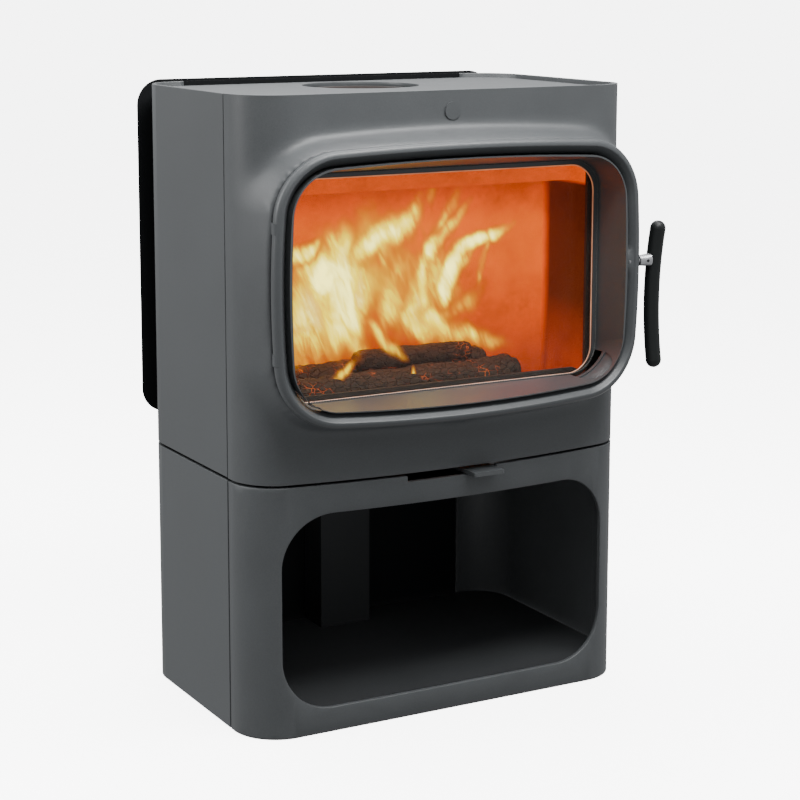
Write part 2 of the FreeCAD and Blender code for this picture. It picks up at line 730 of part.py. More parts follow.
def pane_and_seals():
    """The pane, the seal behind its edge and the rope behind the rim."""
    half_width = size("glass_half_width") + size("glass_overlap")
    half_height = size("glass_half_height") + size("glass_overlap")
    back = -size("glass_plane") + size("glass_thickness")
    tall = "glass_half_height + glass_overlap"
    pane = box(
        "pane_block", ("-glass_half_width - glass_overlap", "glass_half_width + glass_overlap"),
        ("-glass_plane", "-glass_plane + glass_thickness"),
        (f"glass_middle - ({tall})", f"glass_middle + {tall}"),
    )
    node(rounded("pane_round", pane, "y", size("glass_corner")), "door_glass")
    seal = pane_prism(half_width - 1, half_height - 1, size("glass_corner"), back, -size("frame_rear"))
    seal = seal.cut(pane_prism(half_width - 7, half_height - 7, size("glass_corner") - 6, back - 1, 0))
    node(feature("pane_seal", seal), "glass_gasket")
    rope = door_prism(ROPE_INSET, -size("body_depth"), -100)
    rope = rope.cut(door_prism(ROPE_INSET + ROPE_WIDTH, -size("body_depth"), -100))
    rope = rope.common(bow_block(size("rim_back") - 0.1)).cut(bow_block(size("lip_front") + ROPE_CLEAR))
    for height in hinge_heights():
        low = Vector(size("hinge_x") - 16, size("hinge_y"), height - size("knuckle_height") / 2 - 1)
        rope = rope.cut(Part.makeBox(32, 30, size("knuckle_height") + 2, low))
    node(feature("door_rope_ring", rope), "door_gasket")


def pane_clips():
    """Clips on the glass frame's rear that press the pane forwards, and their screws."""
    clips = []
    screws = []
    for side in (-1, 1):
        height = f"glass_middle + {side} * (glass_half_height + glass_overlap + 4)"
        inner = f"glass_middle + {side} * (glass_half_height + 2)"
        outer = f"glass_middle + {side} * (glass_half_height + glass_overlap + 8)"
        span = (inner, outer) if side > 0 else (outer, inner)
        for across in (-150, 150):
            name = f"{'upper' if side > 0 else 'lower'}_{'right' if across > 0 else 'left'}"
            clips.append(box(f"clip_{name}", (str(across - 12), str(across + 12)),
                             ("-frame_rear", "-frame_rear + 3"), span))
            screws.append(rod(f"clip_screw_{name}", "y", "3.5", str(across), "-frame_rear + 3", height, "3"))
    node(group("clips", clips), "glass_clips")
    node(group("clip_screws", screws), "clip_screws")


# ---------------------------------------------------------------- handle and latch

def handle():
    """Bent round grip, its tapered stub and shaft, the set screw and the latch cam."""
    x, y, z = size("grip_x"), size("hinge_y"), size("shaft_height")
    radius = size("grip_radius")
    ends = size("grip_above") - radius, -size("grip_below") + radius
    top = Vector(x + 3, y - 2, z + ends[0])
    bottom = Vector(x, y - 2, z + ends[1])
    middle = Vector(x - 1, y - 2 + size("grip_bend"), (top.z + bottom.z) / 2)
    curve = Part.Arc(top, middle, bottom)
    path = Part.Wire(curve.toShape())
    start = curve.tangent(curve.FirstParameter)[0]
    ring = Part.Wire(Part.Circle(top, start, radius).toShape())
    bar = path.makePipeShell([ring], True, True)
    bar = bar.fuse([Part.makeSphere(radius, top), Part.makeSphere(radius, bottom)])
    node(feature("grip_bar", bar), "handle_grip")
    stub = "rim_half_width + 1"
    inner = "cam_left"
    shaft = revolved(
        "handle_shaft",
        [("0", inner), ("shaft_radius", inner), ("shaft_radius", stub), ("shaft_radius + 3.5", stub),
         ("shaft_radius + 5.5", "grip_x - grip_radius + 1"), ("0", "grip_x - grip_radius + 1")],
        ("0", "hinge_y", "shaft_height"), "x",
    )
    node(shaft, "handle_shaft")
    node(rod("set_screw_rod", "y", "2.2", "grip_x - grip_radius - 7", "hinge_y - shaft_radius - 5.2",
             "shaft_height", "3"), "set_screw")


def latch():
    """Cam on the shaft's end whose nose runs under a keeper pin on the casting."""
    y, z = "hinge_y", "shaft_height"
    hub = rod("cam_hub", "x", "shaft_radius + cam_hub_wall", "cam_left", y, z, "cam_thickness")
    arm = box("cam_arm", ("cam_left", "cam_left + cam_thickness"), (y, "hinge_y + 50"),
              ("shaft_height - 5", "shaft_height + 5"))
    hole = rod("cam_hole", "x", "shaft_radius", "cam_left - 10", y, z, "30")
    node(cut("cam_cut", fuse("cam_body", [hub, arm]), [hole]), "latch_cam")
    pin = rod("keeper_pin", "x", "keeper_radius", "cam_left", "hinge_y + keeper_depth",
              "shaft_height + keeper_height", "12")
    block = box("keeper_block", ("299", "305"), ("-lip_front + 6", "hinge_y + keeper_depth + 8"),
                ("shaft_height + keeper_height - 9", "shaft_height + keeper_height + 11"))
    node(fuse("keeper_body", [pin, block]), "latch_keeper")


# ---------------------------------------------------------------- air control

def air_control():
    """Lever plate in the slot at the front, the shutter it carries and the valve housing."""
    top = "base_height - lever_drop"
    level = (f"{top} - lever_thickness", top)
    lever = box("lever_plate", ("lever_left", "lever_right"),
                ("-body_depth / 2 - front_bow - lever_reach", "shutter_front"), level)
    node(rounded("lever_round", lever, "z", 3), "air_lever")
    shutter = box("shutter_plate", ("-shutter_half_width", "shutter_half_width"),
                  ("shutter_front", "shutter_rear"), level)
    port = box("shutter_port", ("-50", "-10"), ("-112", "-80"), ("0", "total_height"))
    node(cut("shutter_cut", shutter, [port]), "air_shutter")
    low, high = "base_height - ceiling_drop", "base_height + seam_gap"
    walls = [
        box("valve_rear", ("-180", "100"), ("-68", "-64"), (low, high)),
        box("valve_left", ("-184", "-180"), ("-126", "-64"), (low, high)),
        box("valve_right", ("100", "104"), ("-126", "-64"), (low, high)),
        box("valve_runner", ("-182", "102"), ("-90", "-64"), ("base_height - 14", "base_height - 8.5")),
    ]
    node(fuse("valve_walls", walls), "air_valve_housing")


# ---------------------------------------------------------------- heat shield, badge and fasteners

SHIELD_XS = ("-210", "210")
SHIELD_ZS = ("shield_bottom + 60", "shield_top - 60")


def heat_shield():
    face = "body_depth / 2 + shield_gap"
    sheet_block = box("shield_block", ("-shield_half_width", "shield_half_width"),
                      (face, f"{face} + sheet_wall"), ("shield_bottom", "shield_top"))
    node(rounded("shield_round", sheet_block, "y", size("shield_corner")), "heat_shield")

    def spacer(name, x, z):
        return rod(name, "y", "8", x, "body_depth / 2", z, "shield_gap")

    def screw(name, x, z):
        return rod(name, "y", "screw_head", x, f"{face} + sheet_wall", z, "screw_height")

    node(spread("shield_posts", spacer, SHIELD_XS, SHIELD_ZS), "shield_spacers")
    node(spread("shield_heads", screw, SHIELD_XS, SHIELD_ZS), "shield_screws")


def badge():
    """Plain round badge above the door."""
    node(rod("badge_disc", "y", "13", "0", "-body_depth / 2 - 3.2", "907", "2.4"), "badge")


def rear_screws():
    """Screw heads that hold the two rear panels."""
    heads = []
    levels = ("40", "base_height - 40", "base_height + 40", "total_height - 40")
    for row, z in enumerate(levels):
        for side in (-1, 1):
            x = f"{side} * (rear_half_width - 14)"
            name = f"rear_screw_{row}_{side + 1}"
            heads.append(rod(name, "y", "screw_head", x, "body_depth / 2", z, "screw_height"))
    node(group("rear_heads", heads), "rear_screws")


def build():
    base_castings()
    wrapped_panels("base", "0", "base_height", ("base_side_left", "base_side_right"))
    base_plates()
    supports()
    front_casting()
    wrapped_panels("upper", "base_height + seam_gap", "total_height", ("side_panel_left", "side_panel_right"))
    rear_sheet("rear_panel", "base_height + seam_gap", "total_height")
    floor_plate()
    top_plates()
    firebox_plates()
    burn_plates()
    retainer()
    hinge_parts()
    door_frame()
    glass_frame()
    pane_and_seals()
    pane_clips()
    handle()
    latch()
    air_control()
    heat_shield()
    badge()
    rear_screws()


def check_and_export():
    doc.recompute()
    faults = [item.Name for item in doc.Objects if {"Invalid", "Error"} & set(item.State)]
    faults += [item.Label for item in nodes if item.Shape.isNull() or not item.Shape.isValid()]
    if faults:
        raise RuntimeError(f"failed objects: {faults}")
    os.makedirs("parts", exist_ok=True)
    for item in nodes:
        item.Shape.exportStep(f"parts/{item.Label}.step")
        print(item.Label, len(item.Shape.Solids), round(item.Shape.Volume / 1000, 1))
    print(len(nodes), "sub-parts")


build()
check_and_export()
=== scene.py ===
import json
import math

import bmesh
import bpy
import numpy as np
from mathutils import Matrix, Vector, noise


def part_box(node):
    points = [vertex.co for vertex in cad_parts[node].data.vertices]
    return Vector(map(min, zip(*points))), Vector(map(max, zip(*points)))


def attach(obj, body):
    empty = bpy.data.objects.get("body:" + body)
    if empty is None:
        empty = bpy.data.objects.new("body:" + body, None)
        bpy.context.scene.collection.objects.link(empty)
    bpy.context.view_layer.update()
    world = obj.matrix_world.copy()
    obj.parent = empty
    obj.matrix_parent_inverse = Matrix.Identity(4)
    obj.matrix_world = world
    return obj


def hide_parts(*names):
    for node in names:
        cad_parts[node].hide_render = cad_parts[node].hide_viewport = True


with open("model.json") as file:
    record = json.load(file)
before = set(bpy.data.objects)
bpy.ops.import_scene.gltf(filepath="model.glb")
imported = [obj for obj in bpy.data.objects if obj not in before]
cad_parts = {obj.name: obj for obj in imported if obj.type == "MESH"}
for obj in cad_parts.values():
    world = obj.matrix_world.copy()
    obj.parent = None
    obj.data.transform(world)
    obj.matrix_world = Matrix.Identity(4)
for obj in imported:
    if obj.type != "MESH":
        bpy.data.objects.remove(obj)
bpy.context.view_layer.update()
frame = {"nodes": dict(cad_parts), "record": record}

noise.seed_set(1)
NODES = frame["nodes"]
SLOT_OF = {part["node"]: part["material_slot"] for part in frame["record"]["subparts"]}


# ---------------------------------------------------------------- material tools

class Graph:
    """The shader nodes of one material."""

    def __init__(self, name):
        self.material = bpy.data.materials.new(name)
        self.material.use_nodes = True
        self.tree = self.material.node_tree
        self.tree.nodes.clear()
        self.output = self.tree.nodes.new("ShaderNodeOutputMaterial")
        self.place = self.add("ShaderNodeTexCoord").outputs["Object"]

    def add(self, kind, inputs=None, **props):
        made = self.tree.nodes.new(kind)
        for prop, value in props.items():
            setattr(made, prop, value)
        for key, value in (inputs or {}).items():
            self.put(made, key, value)
        return made

    def put(self, made, key, value):
        if isinstance(value, bpy.types.Node):
            value = value.outputs[0]
        if isinstance(value, bpy.types.NodeSocket):
            self.tree.links.new(value, made.inputs[key])
        else:
            made.inputs[key].default_value = value

    def math(self, operation, first, second=0.0, clamp=False):
        made = self.add("ShaderNodeMath", {0: first, 1: second}, operation=operation)
        made.use_clamp = clamp
        return made.outputs[0]

    def noise(self, scale, detail=4.0, roughness=0.5, where=None, distortion=0.0):
        inputs = {"Vector": where or self.place, "Scale": scale, "Detail": detail,
                  "Roughness": roughness, "Distortion": distortion}
        return self.add("ShaderNodeTexNoise", inputs).outputs[0]

    def stretched(self, x, y, z, where=None):
        made = self.add("ShaderNodeMapping", {"Vector": where or self.place, "Scale": (x, y, z)})
        return made.outputs[0]

    def span(self, value, low, high, out_low=0.0, out_high=1.0):
        inputs = {"Value": value, "From Min": low, "From Max": high, "To Min": out_low, "To Max": out_high}
        return self.add("ShaderNodeMapRange", inputs).outputs[0]

    def blend(self, share, first, second):
        made = self.add("ShaderNodeMix", data_type="RGBA")
        self.put(made, 0, share)
        for index, colour in ((6, first), (7, second)):
            self.put(made, index, colour if not isinstance(colour, tuple) else (*colour, 1.0))
        return made.outputs[2]

    def bump(self, height, distance, strength=1.0, normal=None):
        inputs = {"Height": height, "Distance": distance, "Strength": strength}
        if normal is not None:
            inputs["Normal"] = normal
        return self.add("ShaderNodeBump", inputs).outputs[0]

    def surface(self, shader):
        self.put(self.output, "Surface", shader)
        return self.material

    def principled(self, **inputs):
        names = {"colour": "Base Color", "rough": "Roughness", "metal": "Metallic", "normal": "Normal",
                 "glow": "Emission Color", "power": "Emission Strength", "specular": "Specular IOR Level"}
        return self.add("ShaderNodeBsdfPrincipled", {names[key]: value for key, value in inputs.items()})


def shade(colour, share):
    """The colour made darker or lighter."""
    return tuple(channel * share for channel in colour)


def paint(name, colour, rough, grain, uneven=0.0, scale=1100.0, specular=0.35):
    """Stove paint over a fine grain, with slow changes of tone and sheen."""
    g = Graph(name)
    slow = g.noise(7.0, 5.0, 0.6)
    fine = g.noise(scale, 2.0, 0.6)
    speck = g.noise(scale * 0.45, 3.0, 0.7)
    tone = g.math("ADD", g.math("MULTIPLY", slow, 0.45), g.math("MULTIPLY", speck, 0.55))
    base = g.blend(g.span(tone, 0.3, 0.7), shade(colour, 0.84), shade(colour, 1.17))
    normal = g.bump(fine, grain, 0.7)
    if uneven:
        normal = g.bump(g.noise(38.0, 3.0, 0.5), uneven, 0.5, normal)
    sheen = g.span(g.math("ADD", slow, g.math("MULTIPLY", fine, 0.5)), 0.4, 1.1, rough - 0.05, rough + 0.07)
    return g.surface(g.principled(colour=base, rough=sheen, normal=normal, specular=specular))


def bare_metal(name, colour, rough, along=(1.0, 60.0, 60.0)):
    """Drawn or turned steel with fine lines and a few darker spots."""
    g = Graph(name)
    lines = g.noise(14.0, 4.0, 0.7, g.stretched(*along))
    spots = g.noise(90.0, 3.0, 0.6)
    base = g.blend(g.span(spots, 0.35, 0.75), shade(colour, 0.7), shade(colour, 1.1))
    sheen = g.span(lines, 0.3, 0.7, rough - 0.08, rough + 0.12)
    return g.surface(g.principled(colour=base, rough=sheen, metal=1.0, normal=g.bump(lines, 0.0002, 0.4)))


def burn_board():
    """Pressed mineral board, sooted in patches and darker low down, with the flames' light painted on it as
    a deep orange glow.
    """
    g = Graph("burn_board")
    flakes = g.add("ShaderNodeTexVoronoi", {"Vector": g.place, "Scale": 420.0}).outputs["Distance"]
    patch = g.noise(9.0, 6.0, 0.65)
    fine = g.noise(260.0, 4.0, 0.7)
    spot = g.add("ShaderNodeSeparateXYZ", {0: g.place})
    # the boards are made darker low down, on top of the soot patches
    low = g.span(spot.outputs[2], 0.46, 0.56, 0.6, 0.0)
    soot_and_darker_low = g.math("ADD", g.span(patch, 0.48, 0.72, 0.0, 0.4), low, clamp=True)
    board = g.blend(g.span(fine, 0.3, 0.7), (0.12, 0.045, 0.016), (0.19, 0.07, 0.025))
    base = g.blend(soot_and_darker_low, board, (0.02, 0.008, 0.004))
    # painted light: the flames' light laid on the boards as an orange emission glow, strongest on the rear
    # board and rising upwards, low and weak on the side boards, with painted shade under the baffle and a
    # painted lit strip along its edge
    rear = g.span(spot.outputs[1], -0.060, -0.036)
    rising = g.span(spot.outputs[2], 0.46, 0.66, 0.25, 1.0)
    painted_shade_under_baffle = g.span(spot.outputs[2], 0.72, 0.785, 1.0, 0.35)
    side = g.span(spot.outputs[2], 0.48, 0.60, 0.30, 0.01)
    painted_light_on_rear = g.math("MULTIPLY", rear, g.math("MULTIPLY", rising, painted_shade_under_baffle))
    painted_light_on_baffle = g.span(spot.outputs[2], 0.780, 0.786, 0.0, 0.62)
    lit = g.math("MAXIMUM", painted_light_on_rear, g.math("MULTIPLY", side, g.math("SUBTRACT", 1.0, rear)))
    lit = g.math("MAXIMUM", lit, painted_light_on_baffle)
    mottle = g.math("MULTIPLY", g.span(patch, 0.3, 0.7, 1.15, 0.7), g.span(fine, 0.3, 0.7, 0.85, 1.1))
    glow = g.blend(lit, (1.0, 0.05, 0.0), (1.0, 0.13, 0.0))
    rough_skin = g.math("ADD", flakes, g.math("MULTIPLY", fine, 0.8))
    power = g.math("MULTIPLY", g.math("MULTIPLY", lit, mottle), 1.3)
    return g.surface(g.principled(colour=base, rough=0.92, normal=g.bump(rough_skin, 0.0012, 0.8),
                                  specular=0.1, glow=glow, power=power))


def pane_glass():
    """Clear ceramic glass with a faint bloom of ash towards its lower edge."""
    g = Graph("pane")
    height = g.add("ShaderNodeSeparateXYZ", {0: g.place}).outputs[2]
    cloud = g.noise(16.0, 5.0, 0.65)
    low = g.span(height, 0.50, 0.58, 1.0, 0.0)
    bloom = g.math("MULTIPLY", g.math("MULTIPLY", cloud, low), 0.02)
    clear = g.add("ShaderNodeBsdfTransparent", {"Color": (0.99, 0.98, 0.96, 1.0)})
    ash = g.add("ShaderNodeBsdfDiffuse", {"Color": (0.6, 0.58, 0.55, 1.0)})
    body = g.add("ShaderNodeMixShader", {0: bloom, 1: clear, 2: ash})
    smear = g.span(cloud, 0.3, 0.7, 0.02, 0.06)
    gloss = g.add("ShaderNodeBsdfGlossy", {"Color": (0.9, 0.9, 0.9, 1.0), "Roughness": smear})
    share = g.math("MULTIPLY", g.add("ShaderNodeFresnel", {"IOR": 1.16}).outputs[0], 0.7)
    return g.surface(g.add("ShaderNodeMixShader", {0: share, 1: body, 2: gloss}))


def braid(name, colour, pitch):
    """Braided glass-fibre rope, with painted shade between its strands and painted highlight on their
    crests.
    """
    g = Graph(name)
    waves = []
    for lean in (1.0, -1.0):
        turned = g.add("ShaderNodeMapping", {"Vector": g.place, "Rotation": (0.0, lean * 0.8, 0.0)})
        inputs = {"Vector": turned, "Scale": pitch, "Distortion": 1.5, "Detail": 1.0}
        waves.append(g.add("ShaderNodeTexWave", inputs).outputs["Fac"])
    weave_and_painted_shade = g.math("MAXIMUM", *waves)
    # painted shade and highlight: the strands' colour follows the weave's relief, darker between them,
    # lighter on their crests
    base = g.blend(weave_and_painted_shade, shade(colour, 0.5), shade(colour, 1.5))
    return g.surface(g.principled(colour=base, rough=0.9, normal=g.bump(weave_and_painted_shade, 0.0006, 1.0)))


GRAPHITE = (0.040, 0.043, 0.045)
MATERIALS = {
    "cast_paint": paint("cast_paint", GRAPHITE, 0.46, 0.00010, 0.0005),
    "panel_paint": paint("panel_paint", GRAPHITE, 0.5, 0.00008),
    "sheet_black": paint("sheet_black", (0.003, 0.0035, 0.004), 0.6, 0.00006, specular=0.1),
    "base_inside": paint("base_inside", (0.014, 0.015, 0.016), 0.62, 0.00012, specular=0.2),
    "firebox_iron": paint("firebox_iron", (0.035, 0.03, 0.028), 0.75, 0.0003, 0.0006, 500.0),
    "burn_board": burn_board(),
    "door_paint": paint("door_paint", shade(GRAPHITE, 0.95), 0.4, 0.00007),
    "pane": pane_glass(),
    "rope": braid("rope", (0.05, 0.05, 0.048), 190.0),
    "handle_black": paint("handle_black", (0.005, 0.006, 0.006), 0.45, 0.0001, specular=0.2),
    "steel": bare_metal("steel", (0.42, 0.42, 0.43), 0.34),
    "screw_black": bare_metal("screw_black", (0.05, 0.05, 0.052), 0.4),
}

for name, item in NODES.items():
    item.data.materials.clear()
    item.data.materials.append(MATERIALS[SLOT_OF[name]])


def ease_edges(names, width):
    """Slightly rounds the sharp edges of CAD parts, as a casting or a cut sheet has them."""
    for name in names:
        weld = NODES[name].modifiers.new("weld", "WELD")
        weld.merge_threshold = 0.00002
        bevel = NODES[name].modifiers.new("eased", "BEVEL")
        bevel.width = width
        bevel.segments = 2
        bevel.limit_method = "ANGLE"
        bevel.angle_limit = math.radians(40)
        bevel.harden_normals = True


# ---------------------------------------------------------------- mesh tools

def mesh_object(name, verts, faces, material):
    """A smooth-shaded object in the scene."""
    mesh = bpy.data.meshes.new(name)
    mesh.from_pydata([tuple(v) for v in verts], [], faces)
    mesh.update()
    mesh.shade_smooth()
    item = bpy.data.objects.new(name, mesh)
    bpy.context.scene.collection.objects.link(item)
    mesh.materials.append(material)
    return item


def rounded_loop(half_width, half_height, corner, steps=10):
    """Points of a rounded rectangle about the origin, as (x, z)."""
    points = []
    for start, (sx, sz) in zip((0, 90, 180, 270), ((1, 1), (-1, 1), (-1, -1), (1, -1))):
        for n in range(steps + 1):
            angle = math.radians(start + 90 * n / steps)
            points.append((sx * (half_width - corner) + corner * math.cos(angle),
                           sz * (half_height - corner) + corner * math.sin(angle)))
    return points


def dense_loop(points, spacing):
    """The same closed outline with points no further apart than spacing."""
    result = []
    for a, b in zip(points, points[1:] + points[:1]):
        length = math.dist(a, b)
        count = max(1, round(length / spacing))
        for n in range(count):
            result.append(tuple(p + (q - p) * n / count for p, q in zip(a, b)))
    return result


def ring_tube(name, centres, radius, material, sides=8):
    """A closed tube along a loop of points; radius may be a function of the point's number."""
    count = len(centres)
    verts, faces = [], []
    for n, centre in enumerate(centres):
        along = (centres[(n + 1) % count] - centres[n - 1]).normalized()
        across = along.cross(Vector((0, 1, 0))).normalized()
        up = across.cross(along)
        reach = radius(n) if callable(radius) else radius
        for k in range(sides):
            angle = math.tau * k / sides
            verts.append(centre + (across * math.cos(angle) + up * math.sin(angle)) * reach)
    for n in range(count):
        m = (n + 1) % count
        for k in range(sides):
            j = (k + 1) % sides
            faces.append((n * sides + k, n * sides + j, m * sides + j, m * sides + k))
    item = mesh_object(name, verts, faces, material)
    fix_normals(item)
    return item


def fix_normals(item):
    """Turns all faces of a closed mesh outwards."""
    bm = bmesh.new()
    bm.from_mesh(item.data)
    bmesh.ops.recalc_face_normals(bm, faces=bm.faces)
    bm.to_mesh(item.data)
    bm.free()


# ---------------------------------------------------------------- trim round the pane

# the glass frame's opening and the corner where its walls meet its lip: half width, half height, corner
OPENING = (0.2655, 0.162, 0.042)
LIP_CORNER = (0.2716, 0.1647, 0.0447)
GLASS_MIDDLE = 0.655
LIP_RISE = 0.0035
LIP_AHEAD = 0.0040
EDGE_RADIUS = 0.0009
STRAND_RADII = (0.0013, 0.0007)


def pane_edge_painted_glow_material():
    """The ground edge round the opening, with the fire's light on it painted as a patchy orange glow."""
    g = Graph("pane_edge_painted_glow")
    patch = g.noise(24.0, 4.0, 0.6)
    tone = g.blend(patch, (0.22, 0.16, 0.13), (0.34, 0.25, 0.20))
    # painted firelight: an emission glow standing in for the fire's light on the edge
    glow = g.blend(patch, (1.0, 0.22, 0.04), (1.0, 0.36, 0.10))
    power = g.span(patch, 0.3, 0.7, 0.25, 0.6)
    return g.surface(g.principled(colour=tone, rough=0.5, glow=glow, power=power))


def pane_trim():
    """The ground edge, with painted firelight on it, and the small braided bead that frame the pane."""
    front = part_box("door_glass")[0].y
    edge = dense_loop(rounded_loop(*(side - EDGE_RADIUS for side in OPENING)), 0.01)
    places = [Vector((x, front - EDGE_RADIUS, GLASS_MIDDLE + z)) for x, z in edge]
    item = ring_tube("pane_edge_painted_glow", places, EDGE_RADIUS, pane_edge_painted_glow_material(), 6)
    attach(item, "door")
    bead = dense_loop(rounded_loop(*LIP_CORNER), 0.0011)
    places = [Vector((x, front - LIP_AHEAD, GLASS_MIDDLE + LIP_RISE + z)) for x, z in bead]
    item = ring_tube("pane_bead", places, lambda n: STRAND_RADII[n % 4 // 2], MATERIALS["rope"], 6)
    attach(item, "door")


# ---------------------------------------------------------------- door casting

# the door's outline: middle height, half width and height, and the radii of its top, side and corner arcs
DOOR_MIDDLE = 0.6645
DOOR_HALF = (0.309, 0.2035)
DOOR_RADII = (3.6, 1.5, 0.098)
# the bow of its front, the rim's front and back at its sides, and its section
DOOR_BOW = 0.020
RIM_FRONT = -0.246
RIM_BACK = -0.226
RIM_ROUND = 0.009
RIM_WIDTH = 0.022
SLOPE_START = 0.0122
SLOPE_DROP = 0.0024
SLOPE_DEPTH = 0.0155
SKIRT_INSET = 0.016
SKIRT_REAR = -0.201
LEDGE_INSET = 0.024
LEDGE_FRONT = -0.207
# a rise in the slope that covers the handle's shaft: its height above the middle, its reach and its share
BOSS_RISE = 0.0065
BOSS_REACH = 0.019
BOSS_SHARE = 0.72
BOSS_SIDE = 0.29


def door_quarter(steps=(22, 26, 18)):
    """Points and outward directions on the upper right quarter of the door's outline, as (x, z)."""
    half_width, half_height = DOOR_HALF
    top_radius, side_radius, corner_radius = DOOR_RADII
    top = Vector((0.0, half_height - top_radius))
    side = Vector((half_width - side_radius, 0.0))
    from_top, from_side = top_radius - corner_radius, side_radius - corner_radius
    apart = (side - top).length
    along = (apart ** 2 + from_top ** 2 - from_side ** 2) / (2 * apart)
    ahead = (side - top).normalized()
    corner = top + ahead * along + Vector((ahead.y, -ahead.x)) * math.sqrt(from_top ** 2 - along ** 2)
    turn_top = math.atan2(*(corner - top))
    turn_side = math.atan2(*(corner - side))
    arcs = ((top, top_radius, 0.0, turn_top), (corner, corner_radius, turn_top, turn_side),
            (side, side_radius, turn_side, math.pi / 2))
    quarter = []
    for (centre, radius, start, end), count in zip(arcs, steps):
        for n in range(count):
            angle = start + (end - start) * n / count
            out = Vector((math.sin(angle), math.cos(angle)))
            quarter.append((centre + out * radius, out))
    quarter.append((Vector((half_width, 0.0)), Vector((1.0, 0.0))))
    return quarter


def door_outline():
    """The whole outline of the door about its middle, clockwise from the top."""
    quarter = door_quarter()
    lower = [(Vector((p.x, -p.y)), Vector((o.x, -o.y))) for p, o in reversed(quarter[:-1])]
    right = quarter + lower
    left = [(Vector((-p.x, p.y)), Vector((-o.x, o.y))) for p, o in reversed(right[1:-1])]
    return right + left


def rim_profile(front, back, slope):
    """Section of the door casting as (inset from the outline, y), rounded outside and sloped inside."""
    turns = [math.radians(90 * n / 6) for n in range(7)]
    r = RIM_ROUND
    section = [(SKIRT_INSET, back), (0.0125, back)]
    section += [(r - r * math.sin(turn), back - r + r * math.cos(turn)) for turn in turns]
    section += [(r - r * math.cos(turn), front + r - r * math.sin(turn)) for turn in turns]
    section += [(0.0098, front), (0.0105, front + 0.0003), (0.0112, front + 0.0010)]
    for n in range(7):
        section.append((SLOPE_START + (RIM_WIDTH - SLOPE_START) * n / 6,
                        front + SLOPE_DROP + (slope - SLOPE_DROP) * n / 6))
    section += [(RIM_WIDTH, LEDGE_FRONT - 0.0015), (RIM_WIDTH, LEDGE_FRONT), (LEDGE_INSET, LEDGE_FRONT)]
    section += [(LEDGE_INSET, SKIRT_REAR), (SKIRT_INSET, SKIRT_REAR), (SKIRT_INSET, SKIRT_REAR - 0.003)]
    return section


def door_casting():
    """Door casting with a narrow front face, whose inner slope runs back to the glass frame."""
    outline = door_outline()
    verts = []
    for point, out in outline:
        bow = DOOR_BOW * (1 - (point.x / DOOR_HALF[0]) ** 2)
        boss = math.exp(-((point.y - BOSS_RISE) / BOSS_REACH) ** 4) if point.x > BOSS_SIDE else 0.0
        slope = SLOPE_DEPTH * (1 - BOSS_SHARE * boss)
        for inset, y in rim_profile(RIM_FRONT - bow, RIM_BACK - bow, slope):
            place = point - out * inset
            verts.append(Vector((place.x, y, DOOR_MIDDLE + place.y)))
    count, around = len(verts) // len(outline), len(outline)
    faces = []
    for i in range(around):
        k = (i + 1) % around
        for j in range(count):
            m = (j + 1) % count
            faces.append((i * count + j, i * count + m, k * count + m, k * count + j))
    item = mesh_object("door_casting", verts, faces, MATERIALS["door_paint"])
    fix_normals(item)
    item.data.set_sharp_from_angle(angle=math.radians(38))
    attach(item, "door")
    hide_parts("door_frame")


# ---------------------------------------------------------------- the fire, which is not part of the stove

FIRE_FLOOR = 0.4405


def char_material():
    """Charred wood whose cracks glow in patches."""
    g = Graph("charred_wood")
    cracks = g.add("ShaderNodeTexVoronoi", {"Vector": g.stretched(1.0, 1.6, 1.6), "Scale": 75.0},
                   feature="DISTANCE_TO_EDGE").outputs["Distance"]
    fine = g.noise(320.0, 4.0, 0.7)
    patch = g.noise(26.0, 4.0, 0.6)
    base = g.blend(g.span(fine, 0.35, 0.7), (0.006, 0.004, 0.003), (0.07, 0.04, 0.025))
    deep = g.span(cracks, 0.0, 0.035, 1.0, 0.0)
    hot = g.math("MULTIPLY", deep, g.span(patch, 0.52, 0.72))
    glow = g.blend(g.span(patch, 0.5, 0.75), (1.0, 0.06, 0.0), (1.0, 0.25, 0.02))
    relief = g.math("ADD", g.span(cracks, 0.0, 0.12), g.math("MULTIPLY", fine, 0.3))
    return g.surface(g.principled(colour=base, rough=0.85, normal=g.bump(relief, 0.003, 0.9), glow=glow,
                                  power=g.math("MULTIPLY", hot, 1.6)))


def ember_material():
    """Ash with glowing lumps."""
    g = Graph("embers")
    lumps = g.add("ShaderNodeTexVoronoi", {"Vector": g.place, "Scale": 95.0}).outputs["Distance"]
    patch = g.noise(40.0, 4.0, 0.65)
    heat = g.math("MULTIPLY", g.span(lumps, 0.2, 0.75), g.span(patch, 0.38, 0.62))
    glow = g.blend(heat, (1.0, 0.05, 0.0), (1.0, 0.3, 0.03))
    base = g.blend(g.span(patch, 0.3, 0.7), (0.02, 0.015, 0.012), (0.25, 0.22, 0.2))
    return g.surface(g.principled(colour=base, rough=0.95, glow=glow, power=g.math("MULTIPLY", heat, 7.0),
                                  normal=g.bump(lumps, 0.004, 0.8)))


